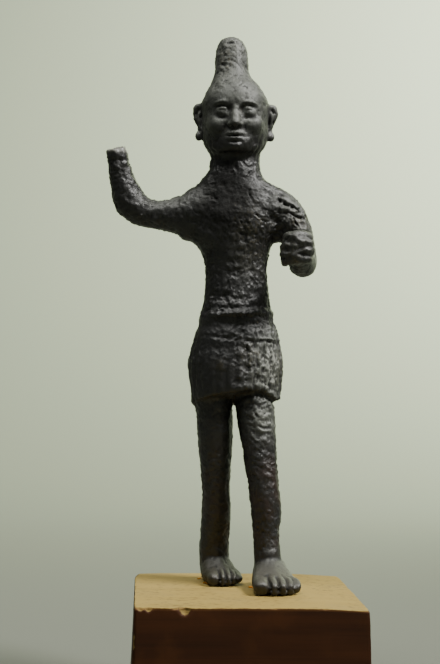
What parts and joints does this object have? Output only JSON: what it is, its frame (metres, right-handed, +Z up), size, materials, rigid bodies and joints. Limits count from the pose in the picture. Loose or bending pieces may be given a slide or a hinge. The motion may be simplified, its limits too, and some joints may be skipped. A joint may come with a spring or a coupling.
{
  "type": "bronze god statuette",
  "caption": "Small cast bronze figure of a striding, kilted god with a tall blunt crown, one arm raised and broken at the wrist, standing on a squared wooden mounting block.",
  "frame": {"origin": "centre of the wooden block's underside", "axes": "+Z up from the block to the crown, and the figure faces -Y"},
  "size_m": [0.0702, 0.0618, 0.1826],
  "materials": {
    "bronze": "dark brown-black patina, pitted and corroded, with ochre specks",
    "wood": "worn pale top, dark brown stained sides, chipped edges"
  },
  "bodies": {
    "root": {"bronze_figure": "bronze", "wooden_block": "wood"}
  },
  "joints": []
}
